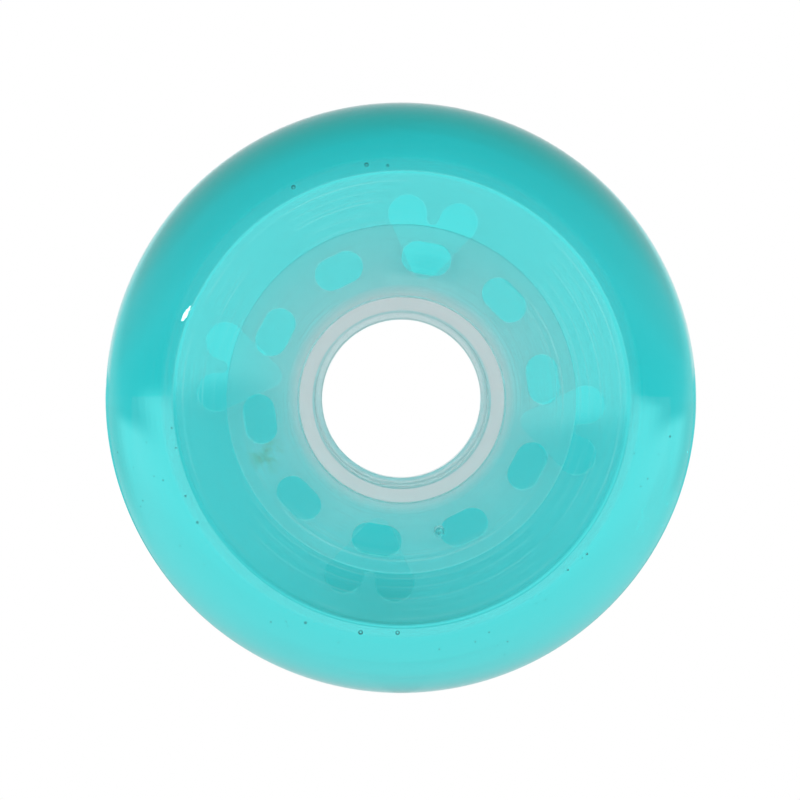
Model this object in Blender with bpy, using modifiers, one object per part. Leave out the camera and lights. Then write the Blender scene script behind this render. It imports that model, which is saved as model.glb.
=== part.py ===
"""A bare 76 mm inline wheel for an office chair caster: a cast clear tyre on a moulded clear core.

The wheel stands upright with its centre at the origin. Its axle runs along Y and its front face
looks along -Y. Everything is modelled lying flat with the front face up, and one empty stands it
upright. Run with blender --background --python part.py, or from the text editor.
"""

import math

import bmesh
import bpy
from mathutils import Vector

MM = 0.001
GAP = 0.3 * MM  # kept between the core and the tyre that is cast around it
MERGE = 0.01 * MM

# The wheel.
WHEEL_R = 38.0 * MM
HALF_WIDTH = 12.0 * MM
FRONT_FACE_R = 28.85 * MM  # where the flat front face turns into the tread
TREAD_SHIFT = 0.12 * MM  # how far the middle of the tread's arc lies behind the wheel's middle
HALF_TREAD_STEPS = 5

# The core's boss and its bore.
SEAT_R = 11.0 * MM
SEAT_DEPTH = 7.0 * MM
SHOULDER_FRONT_R = 10.1 * MM  # the bore between the seats is drafted, wider to the rear
SHOULDER_REAR_R = 10.35 * MM
BOSS_R = 13.15 * MM
BOSS_ROOT_R = 14.4 * MM
FRONT_ROOT_Z = 9.2 * MM
REAR_ROOT_Z = 7.5 * MM
FILLET = 0.8 * MM

# The core's web, with slots from the front, and its flange, with windows from the rear. The web
# gets thinner from the boss outwards.
WEB_R = 22.2 * MM
FLANGE_R = 28.8 * MM
WEB_ROOT_DEPTH = 8.0 * MM
WEB_EDGE_DEPTH = 5.5 * MM
FLANGE_DEPTH = 4.0 * MM
POCKET_OVERLAP = 0.5 * MM
EDGE_ROUND = 0.5 * MM
SLOT_COUNT = 10
SLOT_PHASE = math.radians(8)
SLOT_MID_R = 18.1 * MM
SLOT_LENGTH = 6.4 * MM
SLOT_WIDTH = 4.1 * MM
WINDOW_COUNT = 4
WINDOW_PHASE = math.radians(80)
TIP_MID_R = 17.0 * MM
TIP_ROUND = 1.6 * MM
LOBE_MID_R = 23.4 * MM
LOBE_SIDE = 3.3 * MM
LOBE_ROUND = 2.5 * MM

ROUND_STEPS = 48
ARC_STEPS = 6


def remove_all_objects():
    for old in list(bpy.data.objects):
        bpy.data.objects.remove(old, do_unlink=True)


def make_collection(name, hidden=False):
    collection = bpy.data.collections.new(name)
    bpy.context.scene.collection.children.link(collection)
    collection.hide_render = hidden
    return collection


def make_material(name, colour, roughness, metallic=0.0):
    material = bpy.data.materials.new(name)
    material.use_nodes = True
    shader = material.node_tree.nodes["Principled BSDF"]
    shader.inputs["Base Color"].default_value = (*colour, 1.0)
    shader.inputs["Roughness"].default_value = roughness
    shader.inputs["Metallic"].default_value = metallic
    return material


def arc(middle, radius, start, end, steps=ARC_STEPS):
    """Points on an arc in the plane, from the start angle to the end angle in degrees."""
    angles = [math.radians(start + (end - start) * i / steps) for i in range(steps + 1)]
    return [(middle[0] + radius * math.cos(a), middle[1] + radius * math.sin(a)) for a in angles]


def turned(name, profile, collection):
    """A closed profile of (radius, height) points turned about Z, listed down its outer side."""
    mesh = bpy.data.meshes.new(name)
    count = len(profile)
    edges = [(i, (i + 1) % count) for i in range(count)]
    mesh.from_pydata([(r, 0.0, z) for r, z in profile], edges, [])
    piece = bpy.data.objects.new(name, mesh)
    collection.objects.link(piece)
    screw = piece.modifiers.new("Turn", "SCREW")
    screw.steps = ROUND_STEPS
    screw.render_steps = ROUND_STEPS
    screw.use_smooth_shade = True
    screw.use_merge_vertices = True
    screw.merge_threshold = MERGE
    return piece


def cutter(name, outlines, low, high, collection):
    """Flat closed outlines given a thickness from low to high, as one mesh to cut with."""
    curve = bpy.data.curves.new(name, "CURVE")
    curve.dimensions = "2D"
    curve.fill_mode = "BOTH"
    curve.extrude = (high - low) / 2
    for outline in outlines:
        spline = curve.splines.new("POLY")
        spline.points.add(len(outline) - 1)
        for point, (x, y) in zip(spline.points, outline):
            point.co = (x, y, 0.0, 1.0)
        spline.use_cyclic_u = True
    drawn = bpy.data.objects.new(name + "_outline", curve)
    drawn.location.z = (low + high) / 2
    collection.objects.link(drawn)
    bpy.context.view_layer.update()
    seen = drawn.evaluated_get(bpy.context.evaluated_depsgraph_get())
    mesh = bpy.data.meshes.new_from_object(seen)
    weld = bmesh.new()
    weld.from_mesh(mesh)
    bmesh.ops.remove_doubles(weld, verts=weld.verts, dist=MERGE)
    weld.to_mesh(mesh)
    weld.free()
    piece = bpy.data.objects.new(name, mesh)
    piece.matrix_world = drawn.matrix_world
    collection.objects.link(piece)
    bpy.data.objects.remove(drawn, do_unlink=True)
    return piece


def cut(piece, tool):
    boolean = piece.modifiers.new("Cut " + tool.name, "BOOLEAN")
    boolean.operation = "DIFFERENCE"
    boolean.solver = "EXACT"
    boolean.object = tool


def around(outline, angle):
    """An outline drawn with its outward direction along +X, moved round the wheel by an angle."""
    turned_points = []
    for out, across in outline:
        turned_points.append(
            (
                out * math.cos(angle) - across * math.sin(angle),
                out * math.sin(angle) + across * math.cos(angle),
            )
        )
    return turned_points


def slot_outline(grow):
    """A slot with round ends that lies across the radius."""
    radius = SLOT_WIDTH / 2 + grow
    offset = (SLOT_LENGTH - SLOT_WIDTH) / 2
    return arc((SLOT_MID_R, offset), radius, 0, 180) + arc((SLOT_MID_R, -offset), radius, 180, 360)


def window_outline(grow):
    """A heart that points to the axle: a round tip, two lobes and a round-ended rib between them."""
    tip = Vector((TIP_MID_R, 0.0))
    lobe = Vector((LOBE_MID_R, LOBE_SIDE))
    tip_round = TIP_ROUND + grow
    lobe_round = LOBE_ROUND + grow
    rib_round = LOBE_SIDE - lobe_round
    side = lobe - tip
    lean = math.degrees(math.atan2(side.y, side.x))
    spread = math.degrees(math.acos((tip_round - lobe_round) / side.length))
    tangent = lean + spread
    right_lobe = arc((LOBE_MID_R, -LOBE_SIDE), lobe_round, -tangent, 90)
    rib_end = arc((LOBE_MID_R, 0.0), rib_round, 270, 90)[1:-1]
    left_lobe = arc((LOBE_MID_R, LOBE_SIDE), lobe_round, -90, tangent)
    tip_arc = arc((TIP_MID_R, 0.0), tip_round, tangent, 360 - tangent)
    return right_lobe + rib_end + left_lobe + tip_arc


def core_profile(grow):
    """The core without its pockets, from the top of the boss down its outer side and up its bore."""
    top = HALF_WIDTH + grow
    rear = FLANGE_DEPTH + grow
    web = WEB_R + grow
    flange = FLANGE_R + grow
    root = BOSS_ROOT_R + grow
    web_run = WEB_R - BOSS_ROOT_R - FILLET
    web_slope = math.degrees(math.atan2(WEB_ROOT_DEPTH - WEB_EDGE_DEPTH, web_run))
    root_mid = (root + FILLET, WEB_ROOT_DEPTH + grow + FILLET)
    edge_mid = (web - EDGE_ROUND, WEB_EDGE_DEPTH + grow - EDGE_ROUND)
    front_boss = [(BOSS_R + grow, top), (root, FRONT_ROOT_Z)]
    rear_boss = [(root, -REAR_ROOT_Z), (BOSS_R + grow, -top)]
    front_fillet = arc(root_mid, FILLET, 180, 270 - web_slope, 3)
    rear_fillet = arc((root + FILLET, -rear - FILLET), FILLET, 90, 180, 3)
    web_edge = arc(edge_mid, EDGE_ROUND, 90 - web_slope, 0, 2)
    flange_front = arc((flange - EDGE_ROUND, grow - EDGE_ROUND), EDGE_ROUND, 90, 0, 2)
    flange_rear = arc((flange - EDGE_ROUND, EDGE_ROUND - rear), EDGE_ROUND, 0, -90, 2)
    outer = front_boss + front_fillet + web_edge + [(web, grow)] + flange_front
    outer += flange_rear + rear_fillet + rear_boss
    shoulder = HALF_WIDTH - SEAT_DEPTH
    rear_seat = [(SEAT_R, -top), (SEAT_R, -shoulder), (SHOULDER_REAR_R, -shoulder)]
    front_seat = [(SHOULDER_FRONT_R, shoulder), (SEAT_R, shoulder), (SEAT_R, top)]
    return outer + rear_seat + front_seat


def core_solid(name, grow, collection, cutters):
    """The core, or the same form grown by a gap on every side, with its slots and windows."""
    core = turned(name, core_profile(grow), collection)
    slots = [
        around(slot_outline(-grow), SLOT_PHASE + i * math.tau / SLOT_COUNT) for i in range(SLOT_COUNT)
    ]
    windows = [
        around(window_outline(-grow), WINDOW_PHASE + i * math.tau / WINDOW_COUNT)
        for i in range(WINDOW_COUNT)
    ]
    past_face = HALF_WIDTH
    cut(core, cutter(name + "_slots", slots, grow - POCKET_OVERLAP, past_face, cutters))
    cut(core, cutter(name + "_windows", windows, -past_face, POCKET_OVERLAP - grow, cutters))
    return core


def tyre_profile():
    """The tyre as a plain ring: flat side faces and a round tread, solid in to the boss wall."""
    drop = WHEEL_R - FRONT_FACE_R
    front_half = HALF_WIDTH + TREAD_SHIFT
    tread_arc_r = (drop**2 + front_half**2) / (2 * drop)
    middle = (WHEEL_R - tread_arc_r, -TREAD_SHIFT)
    front_corner = math.degrees(math.asin(front_half / tread_arc_r))
    rear_corner = math.degrees(math.asin((HALF_WIDTH - TREAD_SHIFT) / tread_arc_r))
    tread = arc(middle, tread_arc_r, front_corner, 0, HALF_TREAD_STEPS)
    tread += arc(middle, tread_arc_r, 0, -rear_corner, HALF_TREAD_STEPS)[1:]
    inner_r = (SEAT_R + BOSS_R) / 2
    return [(inner_r, HALF_WIDTH)] + tread + [(inner_r, -HALF_WIDTH)]


def finish(piece, material, axle):
    piece.data.materials.append(material)
    piece.parent = axle


def main():
    remove_all_objects()
    wheel = make_collection("chair_caster_wheel")
    cutters = make_collection("cutters", hidden=True)
    axle = bpy.data.objects.new("axle_line", None)
    axle.rotation_euler.x = math.pi / 2
    wheel.objects.link(axle)

    core = core_solid("core", 0.0, wheel, cutters)
    finish(core, make_material("clear_core_plastic", (0.72, 0.83, 0.83), 0.25), axle)

    tyre = turned("tyre", tyre_profile(), wheel)
    cut(tyre, core_solid("core_space", GAP, cutters, cutters))
    finish(tyre, make_material("teal_polyurethane", (0.06, 0.55, 0.56), 0.12), axle)

    for tool in cutters.objects:
        tool.hide_render = True
        tool.display_type = "WIRE"
        tool.parent = axle


main()
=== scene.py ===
"""A bare clear teal wheel for an office chair caster, standing on a white studio floor.

The moulded core is made first, then the tyre that is cast round it and the air bubbles in it, and
last the floor, the light and the camera. The axle line is Y, the front face looks along -Y, and
every length is in metres.
"""

import math

import bmesh
import bpy
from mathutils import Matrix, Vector


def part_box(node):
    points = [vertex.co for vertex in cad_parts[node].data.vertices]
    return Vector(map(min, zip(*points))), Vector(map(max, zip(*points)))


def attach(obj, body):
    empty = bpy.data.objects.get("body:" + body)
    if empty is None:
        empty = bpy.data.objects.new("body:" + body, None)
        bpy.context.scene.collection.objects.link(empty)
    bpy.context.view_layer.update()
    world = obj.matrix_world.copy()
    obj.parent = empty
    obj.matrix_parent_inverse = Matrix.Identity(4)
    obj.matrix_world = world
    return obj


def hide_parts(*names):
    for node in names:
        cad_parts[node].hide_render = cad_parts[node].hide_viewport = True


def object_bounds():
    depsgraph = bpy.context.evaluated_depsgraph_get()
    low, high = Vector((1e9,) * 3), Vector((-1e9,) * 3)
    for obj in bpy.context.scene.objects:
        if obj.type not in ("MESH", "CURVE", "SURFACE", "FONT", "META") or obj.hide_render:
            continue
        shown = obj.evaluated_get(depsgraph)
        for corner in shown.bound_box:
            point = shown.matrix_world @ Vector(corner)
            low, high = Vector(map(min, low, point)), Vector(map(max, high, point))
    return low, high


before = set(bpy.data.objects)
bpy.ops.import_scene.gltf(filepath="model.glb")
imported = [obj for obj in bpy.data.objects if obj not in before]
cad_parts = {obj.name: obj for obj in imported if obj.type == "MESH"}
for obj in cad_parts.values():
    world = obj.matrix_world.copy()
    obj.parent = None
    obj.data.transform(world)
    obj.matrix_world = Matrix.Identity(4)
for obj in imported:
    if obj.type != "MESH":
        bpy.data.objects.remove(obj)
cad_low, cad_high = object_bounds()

MM = 0.001

# --- Core ------------------------------------------------------------------------------------
# One moulding of clear plastic with a little haze in it. A bored boss has a bearing seat in each
# end. Round the boss lies a web with ten slots moulded from the front, and behind the web a wider
# flange with four heart-shaped windows moulded from the rear. The boss ends are faced on a lathe.

half_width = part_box("core")[1].y
flange_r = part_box("core")[1].x
SEAT_R = 11.0 * MM
SEAT_DEPTH = 7.0 * MM
SHOULDER_FRONT_R = 10.1 * MM
SHOULDER_REAR_R = 10.35 * MM
MOUTH_CHAMFER = 0.25 * MM
END_STEP_R = 12.9 * MM
END_STEP = 0.15 * MM  # a small groove between the cut end and the edge of the boss
BOSS_R = 13.15 * MM
BOSS_ROOT_R = 14.4 * MM
FRONT_ROOT_Y = 9.2 * MM
REAR_ROOT_Y = 7.5 * MM
FILLET = 0.8 * MM
WEB_R = 22.2 * MM
WEB_ROOT_DEPTH = 8.0 * MM
WEB_EDGE_DEPTH = 5.5 * MM
FLANGE_DEPTH = 4.0 * MM
POCKET_OVERLAP = 0.5 * MM
EDGE_ROUND = 0.5 * MM
SLOT_COUNT = 10
SLOT_PHASE = math.radians(8)
SLOT_MID_R = 18.1 * MM
SLOT_LENGTH = 6.4 * MM
SLOT_WIDTH = 4.1 * MM
WINDOW_COUNT = 4
WINDOW_PHASE = math.radians(80)
TIP_MID_R = 17.0 * MM
TIP_ROUND = 1.6 * MM
LOBE_MID_R = 23.4 * MM
LOBE_SIDE = 3.3 * MM
LOBE_ROUND = 2.5 * MM
TURN_STEPS = 192
WELD = 0.002 * MM
SMOOTH_BELOW = math.radians(12)
ON_FACE = 0.05 * MM  # what lies this near to a face counts as on it


def arc(middle, radius, start, end, steps):
    """Points on an arc in the plane, from the start angle to the end angle in degrees."""
    angles = [math.radians(start + (end - start) * i / steps) for i in range(steps + 1)]
    return [(middle[0] + radius * math.cos(a), middle[1] + radius * math.sin(a)) for a in angles]


def add_object(name, mesh):
    piece = bpy.data.objects.new(name, mesh)
    bpy.context.scene.collection.objects.link(piece)
    return piece


def face_outwards(mesh):
    welded = bmesh.new()
    welded.from_mesh(mesh)
    bmesh.ops.remove_doubles(welded, verts=welded.verts, dist=WELD)
    bmesh.ops.recalc_face_normals(welded, faces=welded.faces)
    welded.to_mesh(mesh)
    welded.free()


def turned(name, profile):
    """A closed profile of (radius, y) points turned round the axle line."""
    count = len(profile)
    points = []
    faces = []
    for step in range(TURN_STEPS):
        angle = math.tau * step / TURN_STEPS
        points += [(r * math.cos(angle), y, r * math.sin(angle)) for r, y in profile]
        here, there = step * count, (step + 1) % TURN_STEPS * count
        for i in range(count):
            j = (i + 1) % count
            faces.append((here + i, here + j, there + j, there + i))
    mesh = bpy.data.meshes.new(name)
    mesh.from_pydata(points, [], faces)
    face_outwards(mesh)
    return add_object(name, mesh)


def feed(links, socket, value):
    """Gives a socket a fixed value, or a link from another socket."""
    if isinstance(value, bpy.types.NodeSocket):
        links.new(value, socket)
    else:
        socket.default_value = value


def maths(nodes, links, operation, *values):
    """A Math node on numbers and sockets."""
    node = nodes.new("ShaderNodeMath")
    node.operation = operation
    for socket, value in zip(node.inputs, values):
        feed(links, socket, value)
    return node.outputs[0]


def growing_tree(name, sizes):
    """A Geometry Nodes tree with a geometry in and out, and a named input for each size."""
    tree = bpy.data.node_groups.new(name, "GeometryNodeTree")
    tree.interface.new_socket("Geometry", in_out="INPUT", socket_type="NodeSocketGeometry")
    for label, kind in sizes.items():
        tree.interface.new_socket(label, in_out="INPUT", socket_type="NodeSocket" + kind)
    tree.interface.new_socket("Geometry", in_out="OUTPUT", socket_type="NodeSocketGeometry")
    given = tree.nodes.new("NodeGroupInput").outputs
    made = tree.nodes.new("NodeGroupOutput").inputs
    return tree, given, made


def finish_instances(tree, given, made, instances):
    """The end of each tree: the copies made real, in the finish that was asked for."""
    real = tree.nodes.new("GeometryNodeRealizeInstances")
    finish = tree.nodes.new("GeometryNodeSetMaterial")
    tree.links.new(instances, real.inputs["Geometry"])
    tree.links.new(real.outputs["Geometry"], finish.inputs["Geometry"])
    tree.links.new(given["Finish"], finish.inputs["Material"])
    tree.links.new(finish.outputs["Geometry"], made["Geometry"])


def keep_result(piece, modifier):
    """Turns what a modifier makes of a piece into the piece's own plain mesh."""
    bpy.context.view_layer.update()
    seen = piece.evaluated_get(bpy.context.evaluated_depsgraph_get())
    mesh = bpy.data.meshes.new_from_object(seen)
    mesh.name = piece.name
    piece.modifiers.remove(modifier)
    piece.data = mesh


def grow(piece, tree, sizes):
    modifier = piece.modifiers.new(tree.name, "NODES")
    modifier.node_group = tree
    for item in tree.interface.items_tree:
        if item.in_out == "INPUT" and item.name in sizes:
            modifier[item.identifier] = sizes[item.name]
    keep_result(piece, modifier)


def round_the_axle_tree():
    sizes = {"Count": "Int", "First Angle": "Float", "Finish": "Material"}
    tree, given, made = growing_tree("Round the axle", sizes)
    nodes, links = tree.nodes, tree.links
    places = nodes.new("GeometryNodeMeshLine")
    places.inputs["Offset"].default_value = (0, 0, 0)
    links.new(given["Count"], places.inputs["Count"])
    number = nodes.new("GeometryNodeInputIndex").outputs[0]
    step = maths(nodes, links, "DIVIDE", math.tau, given["Count"])
    angle = maths(nodes, links, "MULTIPLY_ADD", number, step, given["First Angle"])
    turn = nodes.new("ShaderNodeCombineXYZ")
    links.new(maths(nodes, links, "MULTIPLY", angle, -1.0), turn.inputs["Y"])
    copies = nodes.new("GeometryNodeInstanceOnPoints")
    links.new(places.outputs["Mesh"], copies.inputs["Points"])
    links.new(given["Geometry"], copies.inputs["Instance"])
    links.new(turn.outputs[0], copies.inputs["Rotation"])
    finish_instances(tree, given, made, copies.outputs["Instances"])
    return tree


round_the_axle = round_the_axle_tree()


def pocket_pins(name, outline, near, far, count, phase, finish):
    """Mould pins on an outline of (outward, across) points, spaced evenly round the axle line."""
    build = bmesh.new()
    base = build.faces.new([build.verts.new((out, near, across)) for out, across in outline])
    grown = bmesh.ops.extrude_face_region(build, geom=[base])["geom"]
    moved = [part for part in grown if isinstance(part, bmesh.types.BMVert)]
    bmesh.ops.translate(build, verts=moved, vec=(0, far - near, 0))
    bmesh.ops.recalc_face_normals(build, faces=build.faces)
    mesh = bpy.data.meshes.new(name)
    build.to_mesh(mesh)
    build.free()
    pins = add_object(name, mesh)
    grow(pins, round_the_axle, {"Count": count, "First Angle": phase, "Finish": finish})
    return pins


def carve(piece, tool):
    """Cuts the tool out of the piece for good, and removes the tool."""
    cut = piece.modifiers.new("Carve", "BOOLEAN")
    cut.operation = "DIFFERENCE"
    cut.solver = "EXACT"
    cut.object = tool
    keep_result(piece, cut)
    bpy.data.objects.remove(tool, do_unlink=True)


def slot_outline(grown):
    """A slot with round ends that lies across the radius."""
    radius = SLOT_WIDTH / 2 + grown
    side = (SLOT_LENGTH - SLOT_WIDTH) / 2
    left_end = arc((SLOT_MID_R, side), radius, 0, 180, 24)
    right_end = arc((SLOT_MID_R, -side), radius, 180, 360, 24)
    return left_end + right_end


def window_outline(grown):
    """A heart that points to the axle, with a round-ended rib of plastic between its lobes."""
    tip_round, lobe_round = TIP_ROUND + grown, LOBE_ROUND + grown
    side = Vector((LOBE_MID_R - TIP_MID_R, LOBE_SIDE))
    lean = math.degrees(math.atan2(side.y, side.x))
    tangent = lean + math.degrees(math.acos((tip_round - lobe_round) / side.length))
    right_lobe = arc((LOBE_MID_R, -LOBE_SIDE), lobe_round, -tangent, 90, 24)
    rib_end = arc((LOBE_MID_R, 0.0), LOBE_SIDE - lobe_round, 270, 90, 12)[1:-1]
    left_lobe = arc((LOBE_MID_R, LOBE_SIDE), lobe_round, -90, tangent, 24)
    tip = arc((TIP_MID_R, 0.0), tip_round, tangent, 360 - tangent, 16)
    return right_lobe + rib_end + left_lobe + tip


def core_profile(grown):
    """The core without its pockets, as (radius, y), from the front of the boss round to its bore."""
    end, rear, root = half_width + grown, FLANGE_DEPTH + grown, BOSS_ROOT_R + grown
    web, flange = WEB_R + grown, flange_r + grown
    web_run = WEB_R - BOSS_ROOT_R - FILLET
    web_slope = math.degrees(math.atan2(WEB_ROOT_DEPTH - WEB_EDGE_DEPTH, web_run))
    root_mid = (root + FILLET, -WEB_ROOT_DEPTH - grown - FILLET)
    edge_mid = (web - EDGE_ROUND, EDGE_ROUND - WEB_EDGE_DEPTH - grown)
    outer = [(BOSS_R + grown, -end), (root, -FRONT_ROOT_Y)]
    outer += arc(root_mid, FILLET, 180, 90 + web_slope, 8)
    outer += arc(edge_mid, EDGE_ROUND, web_slope - 90, 0, 6) + [(web, -grown)]
    outer += arc((flange - EDGE_ROUND, EDGE_ROUND - grown), EDGE_ROUND, -90, 0, 6)
    outer += arc((flange - EDGE_ROUND, rear - EDGE_ROUND), EDGE_ROUND, 0, 90, 6)
    outer += arc((root + FILLET, rear + FILLET), FILLET, 270, 180, 8)
    outer += [(root, REAR_ROOT_Y), (BOSS_R + grown, end)]
    shoulder = half_width - SEAT_DEPTH
    half_seat = [(SEAT_R + MOUTH_CHAMFER, end), (SEAT_R, end - MOUTH_CHAMFER), (SEAT_R, shoulder)]
    front_seat = [(r, -y) for r, y in reversed(half_seat)]
    middle = [(SHOULDER_REAR_R, shoulder), (SHOULDER_FRONT_R, -shoulder)]
    low = END_STEP - end
    end_step = [(END_STEP_R, -end), (END_STEP_R + END_STEP, low), (BOSS_R - END_STEP, low)]
    return outer + half_seat + middle + front_seat + (end_step if grown == 0 else [])


def core_form(name, grown, finish):
    """The core, or the same form grown by a gap on its cast-in sides."""
    form = turned(name, core_profile(grown))
    slots = slot_outline(-grown)
    windows = window_outline(-grown)
    past_middle = POCKET_OVERLAP - grown
    slot_pins = pocket_pins(
        "slot_pins", slots, -half_width, past_middle, SLOT_COUNT, SLOT_PHASE, finish
    )
    carve(form, slot_pins)
    window_pins = pocket_pins(
        "window_pins", windows, -past_middle, half_width, WINDOW_COUNT, WINDOW_PHASE, finish
    )
    carve(form, window_pins)
    return form


def give_finish(piece, finish):
    piece.data.shade_smooth()
    piece.data.set_sharp_from_angle(angle=SMOOTH_BELOW)
    piece.data.materials.clear()
    piece.data.materials.append(finish)


def mark_faces(piece, mark, where):
    """Gives each face 1 where the test on its radius and its distance from mid-width holds."""
    marks = piece.data.attributes.new(mark, "FLOAT", "FACE")
    for face in piece.data.polygons:
        radius = math.hypot(face.center.x, face.center.z)
        marks.data[face.index].value = float(where(radius, abs(face.center.y)))


def new_material(name):
    material = bpy.data.materials.new(name)
    material.use_nodes = True
    material.node_tree.nodes.clear()
    return material, material.node_tree.nodes, material.node_tree.links


def face_mark(nodes, name):
    mark = nodes.new("ShaderNodeAttribute")
    mark.attribute_name = name
    return mark.outputs["Fac"]


def mixed(nodes, links, share, first, second):
    mix = nodes.new("ShaderNodeMixShader")
    links.new(share, mix.inputs[0])
    links.new(first, mix.inputs[1])
    links.new(second, mix.inputs[2])
    return mix.outputs[0]


def between(nodes, links, value, low, high):
    """0 below the low value, 1 above the high one, and a smooth step between them."""
    step = nodes.new("ShaderNodeMapRange")
    step.interpolation_type = "SMOOTHSTEP"
    step.inputs["From Min"].default_value = low
    step.inputs["From Max"].default_value = high
    links.new(value, step.inputs["Value"])
    return step.outputs[0]


def noise(nodes, links, place, scale, detail, dimensions="3D"):
    texture = nodes.new("ShaderNodeTexNoise")
    texture.noise_dimensions = dimensions
    texture.inputs["Scale"].default_value = scale
    texture.inputs["Detail"].default_value = detail
    links.new(place, texture.inputs["W" if dimensions == "1D" else "Vector"])
    return texture.outputs["Fac"]


LATHE_REACH = (1.0 * MM, 0.9 * MM)  # how far in from the end planes the lathe has cut
LATHE_FLAT = (0.975, 0.99)  # how squarely a face looks along the axle line where it has
RING_SHARE = (0.50, 0.72)
PATCH_SCALE = 75.0
PATCH_SHARE = (0.36, 0.62)


def lathe_marks(nodes, links, ring_pitch, grain_pitch, depth):
    """What a lathe leaves on a flat side: where it cut, its rings in patches, and a bump of both."""
    place = nodes.new("ShaderNodeTexCoord").outputs["Object"]
    split = nodes.new("ShaderNodeSeparateXYZ")
    links.new(place, split.inputs[0])
    x, y, z = split.outputs
    across = maths(nodes, links, "MULTIPLY", x, x)
    radius = maths(nodes, links, "SQRT", maths(nodes, links, "MULTIPLY_ADD", z, z, across))
    facing = nodes.new("ShaderNodeSeparateXYZ")
    links.new(nodes.new("ShaderNodeNewGeometry").outputs["True Normal"], facing.inputs[0])
    flat = between(nodes, links, maths(nodes, links, "ABSOLUTE", facing.outputs["Y"]), *LATHE_FLAT)
    side = maths(nodes, links, "ABSOLUTE", y)
    outside = between(nodes, links, side, *[half_width - reach for reach in LATHE_REACH])
    cut = maths(nodes, links, "MULTIPLY", flat, outside)
    rings = noise(nodes, links, radius, 1 / ring_pitch, 2.0, "1D")
    rings = between(nodes, links, rings, *RING_SHARE)
    patches = between(nodes, links, noise(nodes, links, place, PATCH_SCALE, 2.0), *PATCH_SHARE)
    rings = maths(nodes, links, "MULTIPLY", rings, patches)
    rings = maths(nodes, links, "MULTIPLY", rings, cut)
    grain = noise(nodes, links, radius, 1 / grain_pitch, 3.0, "1D")
    grain = maths(nodes, links, "MULTIPLY", grain, cut)
    bump = nodes.new("ShaderNodeBump")
    bump.inputs["Distance"].default_value = depth
    links.new(maths(nodes, links, "ADD", rings, grain), bump.inputs["Height"])
    normal = bump.outputs["Normal"]
    return {"place": place, "radius": radius, "cut": cut, "rings": rings, "normal": normal}


def blend_colour(nodes, links, share, first, second):
    mix = nodes.new("ShaderNodeMix")
    mix.data_type = "RGBA"
    links.new(share, mix.inputs[0])
    feed(links, mix.inputs[6], first)
    feed(links, mix.inputs[7], second)
    return mix.outputs[2]


def absorb(nodes, absorbed):
    """Light lost per metre of material, for red, green and blue."""
    tint = nodes.new("ShaderNodeVolumeAbsorption")
    strongest = max(absorbed)
    tint.inputs["Color"].default_value = (*[1 - a / strongest for a in absorbed], 1)
    tint.inputs["Density"].default_value = strongest
    return tint.outputs[0]


CLEAR_INDEX = 1.5  # either plastic against air
BONDED_INDEX = 1.03  # the core against the tyre
CLEAR_PLASTIC = (0.97, 0.985, 0.99, 1)
CUT_PLASTIC = (0.95, 0.87, 0.88, 1)
MOULDED_ROUGHNESS = 0.12
CUT_ROUGHER = 0.2
CUT_DULLER = 0.3
CORE_RING_PITCH = 0.3 * MM
CORE_GRAIN_PITCH = 0.1 * MM
CORE_MARK_DEPTH = 0.01 * MM
CORE_HAZE = 110.0  # scattered per metre
HAZE_COLOUR = (0.97, 0.97, 0.98, 1)
CORE_ABSORBED = (3.0, 6.0, 5.2)  # red, green and blue, per metre
STAIN = (0.86, 0.80, 0.66, 1)
STAIN_PLACE = (-17.2 * MM, -6.8 * MM, -7.0 * MM)
STAIN_REACH = (3.0 * MM, 0.5 * MM)
STAIN_SCALE = 500.0
STAIN_SHARE = (0.35, 0.6)


def stain(nodes, links, place):
    """1 in the middle of one small brown smudge, which breaks up towards its edge."""
    distance = nodes.new("ShaderNodeVectorMath")
    distance.operation = "DISTANCE"
    distance.inputs[1].default_value = STAIN_PLACE
    links.new(place, distance.inputs[0])
    nearness = between(nodes, links, distance.outputs["Value"], *STAIN_REACH)
    spots = between(nodes, links, noise(nodes, links, place, STAIN_SCALE, 2.0), *STAIN_SHARE)
    return maths(nodes, links, "MULTIPLY", nearness, spots)


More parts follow.
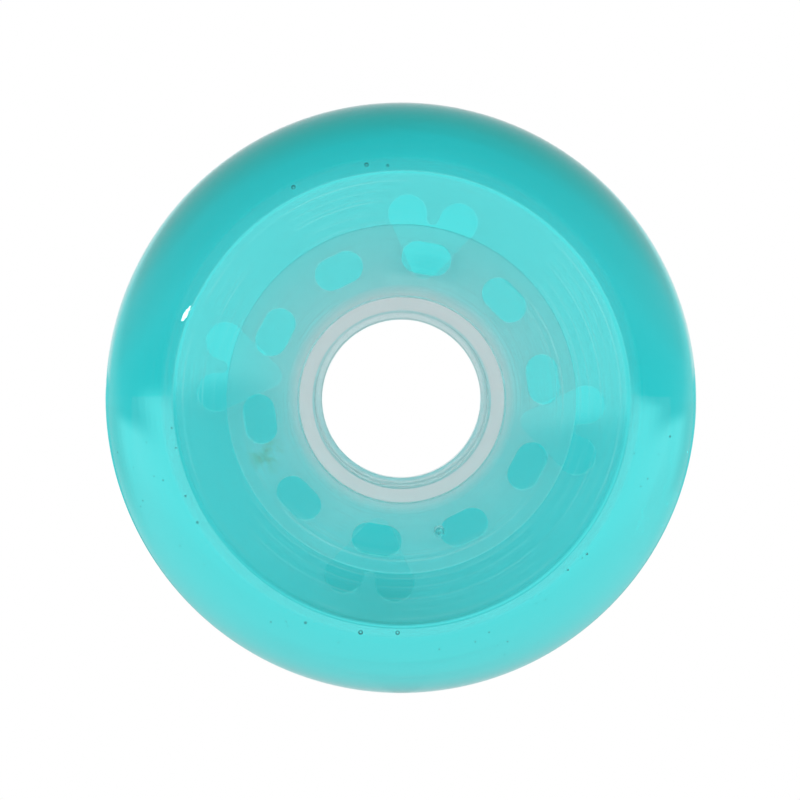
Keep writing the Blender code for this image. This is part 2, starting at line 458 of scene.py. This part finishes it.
def core_material():
    material, nodes, links = new_material("hazy_clear_plastic")
    out = nodes.new("ShaderNodeOutputMaterial")
    marks = lathe_marks(nodes, links, CORE_RING_PITCH, CORE_GRAIN_PITCH, CORE_MARK_DEPTH)
    inner_ring = between(nodes, links, marks["radius"], END_STEP_R + ON_FACE, END_STEP_R - ON_FACE)
    brushed = maths(nodes, links, "MULTIPLY", marks["cut"], inner_ring)
    colour = blend_colour(nodes, links, brushed, CLEAR_PLASTIC, CUT_PLASTIC)
    clearness = maths(nodes, links, "MULTIPLY_ADD", brushed, -CUT_DULLER, 1.0)
    roughness = maths(nodes, links, "MULTIPLY_ADD", brushed, CUT_ROUGHER, MOULDED_ROUGHNESS)
    bare = nodes.new("ShaderNodeBsdfPrincipled")
    bare.inputs["IOR"].default_value = CLEAR_INDEX
    links.new(colour, bare.inputs["Base Color"])
    links.new(clearness, bare.inputs["Transmission Weight"])
    links.new(roughness, bare.inputs["Roughness"])
    links.new(marks["normal"], bare.inputs["Normal"])
    moulded = nodes.new("ShaderNodeBsdfGlass")
    moulded.inputs["IOR"].default_value = BONDED_INDEX
    moulded.inputs["Roughness"].default_value = 0.0
    smudge = stain(nodes, links, marks["place"])
    links.new(blend_colour(nodes, links, smudge, (1, 1, 1, 1), STAIN), moulded.inputs["Color"])
    straight = nodes.new("ShaderNodeBsdfTransparent").outputs[0]
    hidden_side = face_mark(nodes, "hidden_side")
    bonded = mixed(nodes, links, hidden_side, moulded.outputs[0], straight)
    surface = mixed(nodes, links, face_mark(nodes, "cast_in"), bare.outputs[0], bonded)
    links.new(surface, out.inputs["Surface"])
    haze = nodes.new("ShaderNodeVolumeScatter")
    haze.inputs["Color"].default_value = HAZE_COLOUR
    haze.inputs["Density"].default_value = CORE_HAZE
    haze.inputs["Anisotropy"].default_value = 0.0
    both = nodes.new("ShaderNodeAddShader")
    links.new(haze.outputs[0], both.inputs[0])
    links.new(absorb(nodes, CORE_ABSORBED), both.inputs[1])
    links.new(both.outputs[0], out.inputs["Volume"])
    return material


def touches_tyre(radius, away):
    return radius > BOSS_R - ON_FACE and away < half_width - ON_FACE


def seen_edge_on(radius, away):
    """The boss wall and the flange's rim, where the bond with the tyre can't be seen."""
    return radius < BOSS_ROOT_R + FILLET or radius > flange_r - EDGE_ROUND - ON_FACE


hazy_plastic = core_material()
core = core_form("moulded_core", 0.0, hazy_plastic)
give_finish(core, hazy_plastic)
mark_faces(core, "cast_in", touches_tyre)
mark_faces(core, "hidden_side", seen_edge_on)
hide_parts("core")
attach(core, "root")

# --- Tyre ------------------------------------------------------------------------------------
# Clear teal polyurethane, cast round the core so that it fills the slots and windows. Its two side
# faces are turned flat on a lathe, and the round tread is as it came from the mould. The rear face
# has sunk a little over each window, where the cast is thickest.

wheel_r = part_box("tyre")[1].x
FRONT_FACE_R = 28.85 * MM
TREAD_SHIFT = 0.12 * MM
FRONT_CORNER_ROUND = 1.2 * MM
REAR_CORNER_ROUND = 0.5 * MM
HALF_TREAD_STEPS = 40
FRONT_FACE_RINGS = 6
REAR_FACE_RINGS = 20
BOND_GAP = 0.05 * MM  # keeps the two bonded surfaces from lying in each other
SINK_MID_R = 22.0 * MM
SINK_DEPTHS = (0.55 * MM, 0.12 * MM, 0.12 * MM, 0.12 * MM)
SINK_SPREAD = 4.0 * MM

drop = wheel_r - FRONT_FACE_R
tread_arc_r = (drop**2 + (half_width + TREAD_SHIFT) ** 2) / (2 * drop)
tread_middle = (wheel_r - tread_arc_r, TREAD_SHIFT)


def side_corner(side, radius):
    """The round between a flat side face and the tread, from the face outwards."""
    height = half_width - radius - side * tread_middle[1]
    out = math.sqrt((tread_arc_r - radius) ** 2 - height**2)
    middle = (tread_middle[0] + out, side * (half_width - radius))
    lean = math.degrees(math.atan2(height, out))
    return arc(middle, radius, side * 90, side * lean, 8), lean


def side_face(corner, rings):
    """Points across a flat side face, from inside the boss wall to just short of the corner."""
    inner_r = (SEAT_R + MOUTH_CHAMFER + BOSS_R) / 2
    outer_r = corner[0] - 2 * ON_FACE
    return [(inner_r + (outer_r - inner_r) * i / rings, corner[1]) for i in range(rings + 1)]


def tyre_profile():
    front_corner, front_lean = side_corner(-1, FRONT_CORNER_ROUND)
    rear_corner, rear_lean = side_corner(1, REAR_CORNER_ROUND)
    tread = arc(tread_middle, tread_arc_r, -front_lean, 0, HALF_TREAD_STEPS)[1:]
    tread += arc(tread_middle, tread_arc_r, 0, rear_lean, HALF_TREAD_STEPS)[1:-1]
    front_face = side_face(front_corner[0], FRONT_FACE_RINGS)
    rear_face = side_face(rear_corner[0], REAR_FACE_RINGS)
    return front_face + front_corner + tread + rear_corner[::-1] + rear_face[::-1]


def sink_rear_face(piece):
    sinks = []
    for i, depth in enumerate(SINK_DEPTHS):
        angle = WINDOW_PHASE + i * math.tau / WINDOW_COUNT
        middle = Vector((SINK_MID_R * math.cos(angle), SINK_MID_R * math.sin(angle)))
        sinks.append((middle, depth))
    for vertex in piece.data.vertices:
        if vertex.co.y > half_width - ON_FACE:
            place = Vector((vertex.co.x, vertex.co.z))
            for middle, depth in sinks:
                away = (place - middle).length / SINK_SPREAD
                vertex.co.y -= depth * math.exp(-(away**2) / 2)


TEAL_ABSORBED = (111.6, 11.3, 10.7)  # red, green and blue, per metre
TYRE_RING_PITCH = 0.28 * MM
TYRE_GRAIN_PITCH = 0.12 * MM
TYRE_MARK_DEPTH = 0.003 * MM
CAST_ROUGHNESS = 0.01
FACED_ROUGHER = 0.06
RING_ROUGHER = 0.1
RING_DULLER = 0.05


def tyre_material():
    material, nodes, links = new_material("clear_teal_polyurethane")
    out = nodes.new("ShaderNodeOutputMaterial")
    marks = lathe_marks(nodes, links, TYRE_RING_PITCH, TYRE_GRAIN_PITCH, TYRE_MARK_DEPTH)
    clearness = maths(nodes, links, "MULTIPLY_ADD", marks["rings"], -RING_DULLER, 1.0)
    roughness = maths(nodes, links, "MULTIPLY_ADD", marks["cut"], FACED_ROUGHER, CAST_ROUGHNESS)
    roughness = maths(nodes, links, "MULTIPLY_ADD", marks["rings"], RING_ROUGHER, roughness)
    skin = nodes.new("ShaderNodeBsdfPrincipled")
    skin.inputs["Base Color"].default_value = (1, 1, 1, 1)
    skin.inputs["IOR"].default_value = CLEAR_INDEX
    links.new(clearness, skin.inputs["Transmission Weight"])
    links.new(roughness, skin.inputs["Roughness"])
    links.new(marks["normal"], skin.inputs["Normal"])
    straight = nodes.new("ShaderNodeBsdfTransparent").outputs[0]
    surface = mixed(nodes, links, face_mark(nodes, "cast_in"), skin.outputs[0], straight)
    links.new(surface, out.inputs["Surface"])
    links.new(absorb(nodes, TEAL_ABSORBED), out.inputs["Volume"])
    return material


teal_cast = tyre_material()
tyre = turned("cast_tyre", tyre_profile())
carve(tyre, core_form("core_space", BOND_GAP, teal_cast))
sink_rear_face(tyre)


def touches_core(radius, away):
    gap = BOND_GAP + ON_FACE
    on_boss = radius < BOSS_ROOT_R + FILLET + ON_FACE and away < half_width - ON_FACE
    return on_boss or radius < flange_r + gap and away < WEB_ROOT_DEPTH + gap


mark_faces(tyre, "cast_in", touches_core)

# --- Bubbles ---------------------------------------------------------------------------------
# Air that stayed in the tyre when it was poured. A few round bubbles show under the tread, most of
# them low down, one large one sits in front of a slot, and the rest are specks.

BUBBLES = (  # angle from the right in degrees, distance from the axle and radius in mm
    (117.0, 29.9, 0.28),
    (98.5, 29.8, 0.28),
    (93.4, 29.4, 0.20),
    (187.0, 29.1, 0.10),
    (192.0, 29.0, 0.09),
    (204.0, 29.7, 0.13),
    (211.0, 29.9, 0.16),
    (246.7, 30.5, 0.18),
    (260.0, 29.7, 0.30),
    (269.0, 29.3, 0.28),
    (314.3, 29.9, 0.13),
    (320.2, 30.3, 0.16),
    (352.1, 34.1, 0.14),
)
SLOT_BUBBLE = (286.0, 17.4, 0.75)
BUBBLE_DEPTH = 1.2 * MM
SLOT_BUBBLE_Y = -6.3 * MM


def tread_y(radius):
    """How far in front of mid-width the tread stands, at a distance from the axle."""
    return math.sqrt(tread_arc_r**2 - (radius - tread_middle[0]) ** 2) - TREAD_SHIFT


def bubble_places():
    """One point for each listed bubble, with its size."""
    points, sizes = [], []
    for angle, out, size in BUBBLES + (SLOT_BUBBLE,):
        turn, radius = math.radians(angle), out * MM
        y = SLOT_BUBBLE_Y if radius < WEB_R else BUBBLE_DEPTH - tread_y(radius)
        points.append((radius * math.cos(turn), y, radius * math.sin(turn)))
        sizes.append(size * MM)
    mesh = bpy.data.meshes.new("bubbles")
    mesh.from_pydata(points, [], [])
    mesh.attributes.new("size", "FLOAT", "POINT").data.foreach_set("value", sizes)
    return add_object("bubbles", mesh)


def random_value(nodes, links, low, high, seed, offset):
    value = nodes.new("FunctionNodeRandomValue")
    links.new(low, value.inputs[2])
    links.new(high, value.inputs[3])
    links.new(maths(nodes, links, "ADD", seed, offset), value.inputs["Seed"])
    return value.outputs[1]


def bubble_tree():
    sizes = {
        "Specks": "Int",
        "From Angle": "Float",
        "To Angle": "Float",
        "Inner Radius": "Float",
        "Outer Radius": "Float",
        "Shallowest": "Float",
        "Deepest": "Float",
        "Smallest": "Float",
        "Largest": "Float",
        "Seed": "Int",
        "Finish": "Material",
    }
    tree, given, made = growing_tree("Bubbles", sizes)
    nodes, links = tree.nodes, tree.links
    seed = given["Seed"]
    angle = random_value(nodes, links, given["From Angle"], given["To Angle"], seed, 0)
    radius = random_value(nodes, links, given["Inner Radius"], given["Outer Radius"], seed, 1)
    depth = random_value(nodes, links, given["Shallowest"], given["Deepest"], seed, 2)
    size = random_value(nodes, links, given["Smallest"], given["Largest"], seed, 3)
    out = maths(nodes, links, "SUBTRACT", radius, tread_middle[0])
    out = maths(nodes, links, "MULTIPLY", out, out)
    surface = maths(nodes, links, "SQRT", maths(nodes, links, "SUBTRACT", tread_arc_r**2, out))
    right = maths(nodes, links, "MULTIPLY", radius, maths(nodes, links, "COSINE", angle))
    up = maths(nodes, links, "MULTIPLY", radius, maths(nodes, links, "SINE", angle))
    place = nodes.new("ShaderNodeCombineXYZ")
    links.new(right, place.inputs["X"])
    links.new(maths(nodes, links, "SUBTRACT", depth, surface), place.inputs["Y"])
    links.new(up, place.inputs["Z"])
    specks = nodes.new("GeometryNodePoints")
    links.new(given["Specks"], specks.inputs["Count"])
    links.new(place.outputs[0], specks.inputs["Position"])
    sized = nodes.new("GeometryNodeStoreNamedAttribute")
    sized.inputs["Name"].default_value = "size"
    links.new(specks.outputs[0], sized.inputs["Geometry"])
    links.new(size, sized.inputs["Value"])
    every = nodes.new("GeometryNodeJoinGeometry")
    links.new(sized.outputs[0], every.inputs[0])
    links.new(given["Geometry"], every.inputs[0])
    ball = nodes.new("GeometryNodeMeshIcoSphere")
    ball.inputs["Radius"].default_value = 1.0
    ball.inputs["Subdivisions"].default_value = 3
    smooth = nodes.new("GeometryNodeSetShadeSmooth")
    links.new(ball.outputs["Mesh"], smooth.inputs["Geometry"])
    hollow = nodes.new("GeometryNodeFlipFaces")
    links.new(smooth.outputs[0], hollow.inputs[0])
    own_size = nodes.new("GeometryNodeInputNamedAttribute")
    own_size.inputs["Name"].default_value = "size"
    copies = nodes.new("GeometryNodeInstanceOnPoints")
    links.new(every.outputs[0], copies.inputs["Points"])
    links.new(hollow.outputs[0], copies.inputs["Instance"])
    links.new(own_size.outputs[0], copies.inputs["Scale"])
    finish_instances(tree, given, made, copies.outputs["Instances"])
    return tree


bubbles = bubble_places()
speck_sizes = {
    "Specks": 34,
    "From Angle": math.radians(180),
    "To Angle": math.radians(350),
    "Inner Radius": 29.4 * MM,
    "Outer Radius": 35.5 * MM,
    "Shallowest": 0.5 * MM,
    "Deepest": 5.0 * MM,
    "Smallest": 0.04 * MM,
    "Largest": 0.10 * MM,
    "Seed": 7,
    "Finish": teal_cast,
}
grow(bubbles, bubble_tree(), speck_sizes)
filled = bmesh.new()
filled.from_mesh(tyre.data)
filled.from_mesh(bubbles.data)
filled.to_mesh(tyre.data)
filled.free()
bpy.data.objects.remove(bubbles, do_unlink=True)
give_finish(tyre, teal_cast)
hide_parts("tyre")
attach(tyre, "root")

# --- Floor and light ---------------------------------------------------------------------------
# A white floor and a white backdrop, as they are seen directly. In the wheel the sky is brightest
# low down behind it, and the floor behind and beside it and the low sky there are painted greener
# and darker, as a painted shadow of the tyre's light. Two small lamps in front leave a glint where
# the left side face turns into the tread.

FLOOR_SIZE = 8.0
WHITE = (1.0, 1.0, 1.0, 1.0)
FLOOR_IN_FRONT = (0.90, 0.90, 0.90, 1.0)
FRONT_TO_BACK = (-0.02, 0.03)
FLOOR_REACH = 1.0
PAINTED_TYRE_SHADOW = (  # distance from the wheel in metres, and the painted shadow of the tyre on the floor there
    (0.05, (0.07, 0.36, 0.34, 1.0)),
    (0.12, (0.08, 0.46, 0.44, 1.0)),
    (0.22, (0.08, 0.62, 0.63, 1.0)),
    (0.50, (0.15, 0.72, 0.74, 1.0)),
    (1.00, (0.20, 0.74, 0.76, 1.0)),
)
TINT_EDGE = 0.952
TINT_TURN = math.radians(58.456)
TINT_BLUR = 0.25
JUST_BEHIND = (0.15, 0.35)
TO_THE_SIDE = (0.45, 0.65)
# painted teal shade on the floor and the low sky to either side of the wheel
PAINTED_SHADE_BESIDE = (0.45, 0.77, 0.77, 1.0)
HORIZON_BEHIND = 1.0
HORIZON_IN_FRONT = 0.75
SKY_OVERHEAD = 0.40
SKY_BEHIND = 0.94
SKY_BEHIND_FROM = (0.05, 0.15)
SKY_BEHIND_TURN = (0.0, 0.3)
BACK_HALF = (0.0, 0.1)
LOW_SKY = (0.03, 0.0)
WIDE_SKY = (0.4, 0.0)
HAZE_LIGHT_ABOVE = 1.0
HAZE_LIGHT_BELOW = 1.7


def scattered(nodes, links, own_steps=0):
    """1 for light that was scattered inside the hazy core, 0 for light seen straight.

    The surface on show can count itself in the ray depth. own_steps is how often it does.
    """
    path = nodes.new("ShaderNodeLightPath").outputs
    other = maths(nodes, links, "ADD", path["Glossy Depth"], path["Transmission Depth"])
    other = maths(nodes, links, "ADD", other, path["Diffuse Depth"])
    left = maths(nodes, links, "SUBTRACT", path["Ray Depth"], other)
    return maths(nodes, links, "GREATER_THAN", left, own_steps + 0.5)


def beside(nodes, links, x, length, low, high):
    """0 straight behind the wheel and 1 well to either side of that."""
    share = maths(nodes, links, "DIVIDE", maths(nodes, links, "ABSOLUTE", x), length)
    return between(nodes, links, share, low, high)


def floor_behind(nodes, links, x, y):
    """The floor behind the wheel: a painted shadow of the tyre, teal near it and to its sides, and
    white far off.
    """
    across = maths(nodes, links, "MULTIPLY", x, x)
    away = maths(nodes, links, "SQRT", maths(nodes, links, "MULTIPLY_ADD", y, y, across))
    tints = nodes.new("ShaderNodeValToRGB")
    stops = tints.color_ramp.elements
    while len(stops) < len(PAINTED_TYRE_SHADOW):
        stops.new(0.5)
    for stop, (distance, colour) in zip(stops, PAINTED_TYRE_SHADOW):
        stop.position = distance / FLOOR_REACH
        stop.color = colour
    links.new(maths(nodes, links, "DIVIDE", away, FLOOR_REACH), tints.inputs[0])
    along = maths(nodes, links, "MULTIPLY", y, math.cos(TINT_TURN))
    along = maths(nodes, links, "MULTIPLY_ADD", x, math.sin(TINT_TURN), along)
    far = between(nodes, links, along, TINT_EDGE - TINT_BLUR, TINT_EDGE + TINT_BLUR)
    off_line = beside(nodes, links, x, away, *JUST_BEHIND)
    white_part = maths(nodes, links, "MULTIPLY", far, maths(nodes, links, "SUBTRACT", 1.0, off_line))
    tinted = blend_colour(nodes, links, white_part, tints.outputs["Color"], WHITE)
    return blend_colour(nodes, links, beside(nodes, links, x, away, *TO_THE_SIDE), tinted, PAINTED_SHADE_BESIDE)


def floor_material():
    material, nodes, links = new_material("white_floor")
    out = nodes.new("ShaderNodeOutputMaterial")
    split = nodes.new("ShaderNodeSeparateXYZ")
    links.new(nodes.new("ShaderNodeNewGeometry").outputs["Position"], split.inputs[0])
    x, y, _ = split.outputs
    at_back = between(nodes, links, y, *FRONT_TO_BACK)
    lit = blend_colour(nodes, links, at_back, FLOOR_IN_FRONT, floor_behind(nodes, links, x, y))
    haze_light = (HAZE_LIGHT_BELOW, HAZE_LIGHT_BELOW, HAZE_LIGHT_BELOW, 1.0)
    lit = blend_colour(nodes, links, scattered(nodes, links), lit, haze_light)
    seen = nodes.new("ShaderNodeEmission")
    seen.inputs["Color"].default_value = WHITE
    lighting = nodes.new("ShaderNodeEmission")
    links.new(lit, lighting.inputs["Color"])
    direct = nodes.new("ShaderNodeLightPath").outputs["Is Camera Ray"]
    surface = mixed(nodes, links, direct, lighting.outputs[0], seen.outputs[0])
    links.new(surface, out.inputs["Surface"])
    return material


def sky_strength(nodes, links, y, z, in_haze, direct):
    """Bright low down behind the wheel, dimmer overhead and in front, and even as seen directly."""
    even = (HORIZON_BEHIND + HORIZON_IN_FRONT) / 2
    horizon = maths(nodes, links, "MULTIPLY_ADD", y, HORIZON_BEHIND - even, even)
    height = maths(nodes, links, "POWER", maths(nodes, links, "MAXIMUM", z, 0.0), 2.0)
    dimming = maths(nodes, links, "SUBTRACT", SKY_OVERHEAD, horizon)
    light = maths(nodes, links, "MULTIPLY_ADD", height, dimming, horizon)
    at_back = between(nodes, links, y, *SKY_BEHIND_TURN)
    above = maths(nodes, links, "MULTIPLY", between(nodes, links, z, *SKY_BEHIND_FROM), at_back)
    dimmed = maths(nodes, links, "MULTIPLY_ADD", above, SKY_BEHIND - 1.0, 1.0)
    light = maths(nodes, links, "MULTIPLY", light, dimmed)
    haze_gain = maths(nodes, links, "SUBTRACT", HAZE_LIGHT_ABOVE, light)
    light = maths(nodes, links, "MULTIPLY_ADD", in_haze, haze_gain, light)
    return maths(nodes, links, "MAXIMUM", light, direct)


def sky_colour(nodes, links, x, y, z, in_haze, direct):
    """White as seen directly or in the haze, and painted teal shade low down behind and to either
    side.
    """
    clear = maths(nodes, links, "SUBTRACT", 1.0, in_haze)
    unseen = maths(nodes, links, "SUBTRACT", clear, direct)
    at_back = maths(nodes, links, "MULTIPLY", unseen, between(nodes, links, y, *BACK_HALF))
    low = between(nodes, links, z, *LOW_SKY)
    low = maths(nodes, links, "MULTIPLY", low, beside(nodes, links, x, 1.0, *JUST_BEHIND))
    low = maths(nodes, links, "MULTIPLY", low, at_back)
    colour = blend_colour(nodes, links, low, WHITE, PAINTED_TYRE_SHADOW[-1][1])
    wide = maths(nodes, links, "MULTIPLY", between(nodes, links, z, *WIDE_SKY), unseen)
    wide = maths(nodes, links, "MULTIPLY", wide, beside(nodes, links, x, 1.0, *TO_THE_SIDE))
    return blend_colour(nodes, links, wide, colour, PAINTED_SHADE_BESIDE)


def studio_world():
    world = bpy.data.worlds.new("studio")
    world.use_nodes = True
    nodes, links = world.node_tree.nodes, world.node_tree.links
    split = nodes.new("ShaderNodeSeparateXYZ")
    links.new(nodes.new("ShaderNodeTexCoord").outputs["Generated"], split.inputs[0])
    x, y, z = split.outputs
    in_haze = scattered(nodes, links, own_steps=1)
    direct = nodes.new("ShaderNodeLightPath").outputs["Is Camera Ray"]
    background = nodes["Background"].inputs
    links.new(sky_strength(nodes, links, y, z, in_haze, direct), background["Strength"])
    links.new(sky_colour(nodes, links, x, y, z, in_haze, direct), background["Color"])
    return world


floor_mesh = bpy.data.meshes.new("floor")
half = FLOOR_SIZE / 2
corners = [(-half, -half), (half, -half), (half, half), (-half, half)]
floor_mesh.from_pydata([(x, y, cad_low.z) for x, y in corners], [], [(0, 1, 2, 3)])
floor = add_object("floor", floor_mesh)
floor.data.materials.append(floor_material())
bpy.context.scene.world = studio_world()

LAMP_AIM = Vector((-27.4 * MM, -half_width, 11.0 * MM))
LAMP_DISTANCE = 0.9


def glint_lamp(name, direction, width, height, radiance):
    """A small lamp that is seen in the left corner of the tyre, and faces it from that direction."""
    data = bpy.data.lights.new(name, "AREA")
    data.shape = "RECTANGLE"
    data.size, data.size_y = width, height
    data.energy = radiance * math.pi * width * height
    lamp = bpy.data.objects.new(name, data)
    away = Vector(direction).normalized()
    lamp.location = LAMP_AIM + LAMP_DISTANCE * away
    lamp.rotation_euler = away.to_track_quat("Z", "Y").to_euler()
    bpy.context.scene.collection.objects.link(lamp)


glint_lamp("glint_lamp", (-0.57, -0.79, 0.21), 0.09, 0.03, 30.0)
glint_lamp("thin_glint_lamp", (-0.33, -0.93, 0.14), 0.02, 0.04, 24.0)

# --- Camera ------------------------------------------------------------------------------------
# Almost straight in front of the wheel, a very little above its centre.

CAMERA_DISTANCE = 0.546
CAMERA_RISE = math.radians(1.1)
CAMERA_SIDE = math.radians(-0.45)
LENS = 190.9
SENSOR_WIDTH = 36.0
SHIFT_X = -0.00125
SHIFT_Y = -0.0025

camera_data = bpy.data.cameras.new("camera")
camera_data.sensor_width = SENSOR_WIDTH
camera_data.lens = LENS
camera_data.shift_x = SHIFT_X
camera_data.shift_y = SHIFT_Y
camera = bpy.data.objects.new("camera", camera_data)
level = CAMERA_DISTANCE * math.cos(CAMERA_RISE)
camera.location = (
    level * math.sin(CAMERA_SIDE),
    -level * math.cos(CAMERA_SIDE),
    CAMERA_DISTANCE * math.sin(CAMERA_RISE),
)
camera.rotation_euler = (math.pi / 2 - CAMERA_RISE, 0.0, CAMERA_SIDE)
bpy.context.scene.collection.objects.link(camera)
bpy.context.scene.camera = camera

scene = bpy.context.scene
scene.view_settings.view_transform = "Standard"
scene.cycles.max_bounces = 32
scene.cycles.transmission_bounces = 32
scene.cycles.transparent_max_bounces = 64
scene.cycles.volume_bounces = 12
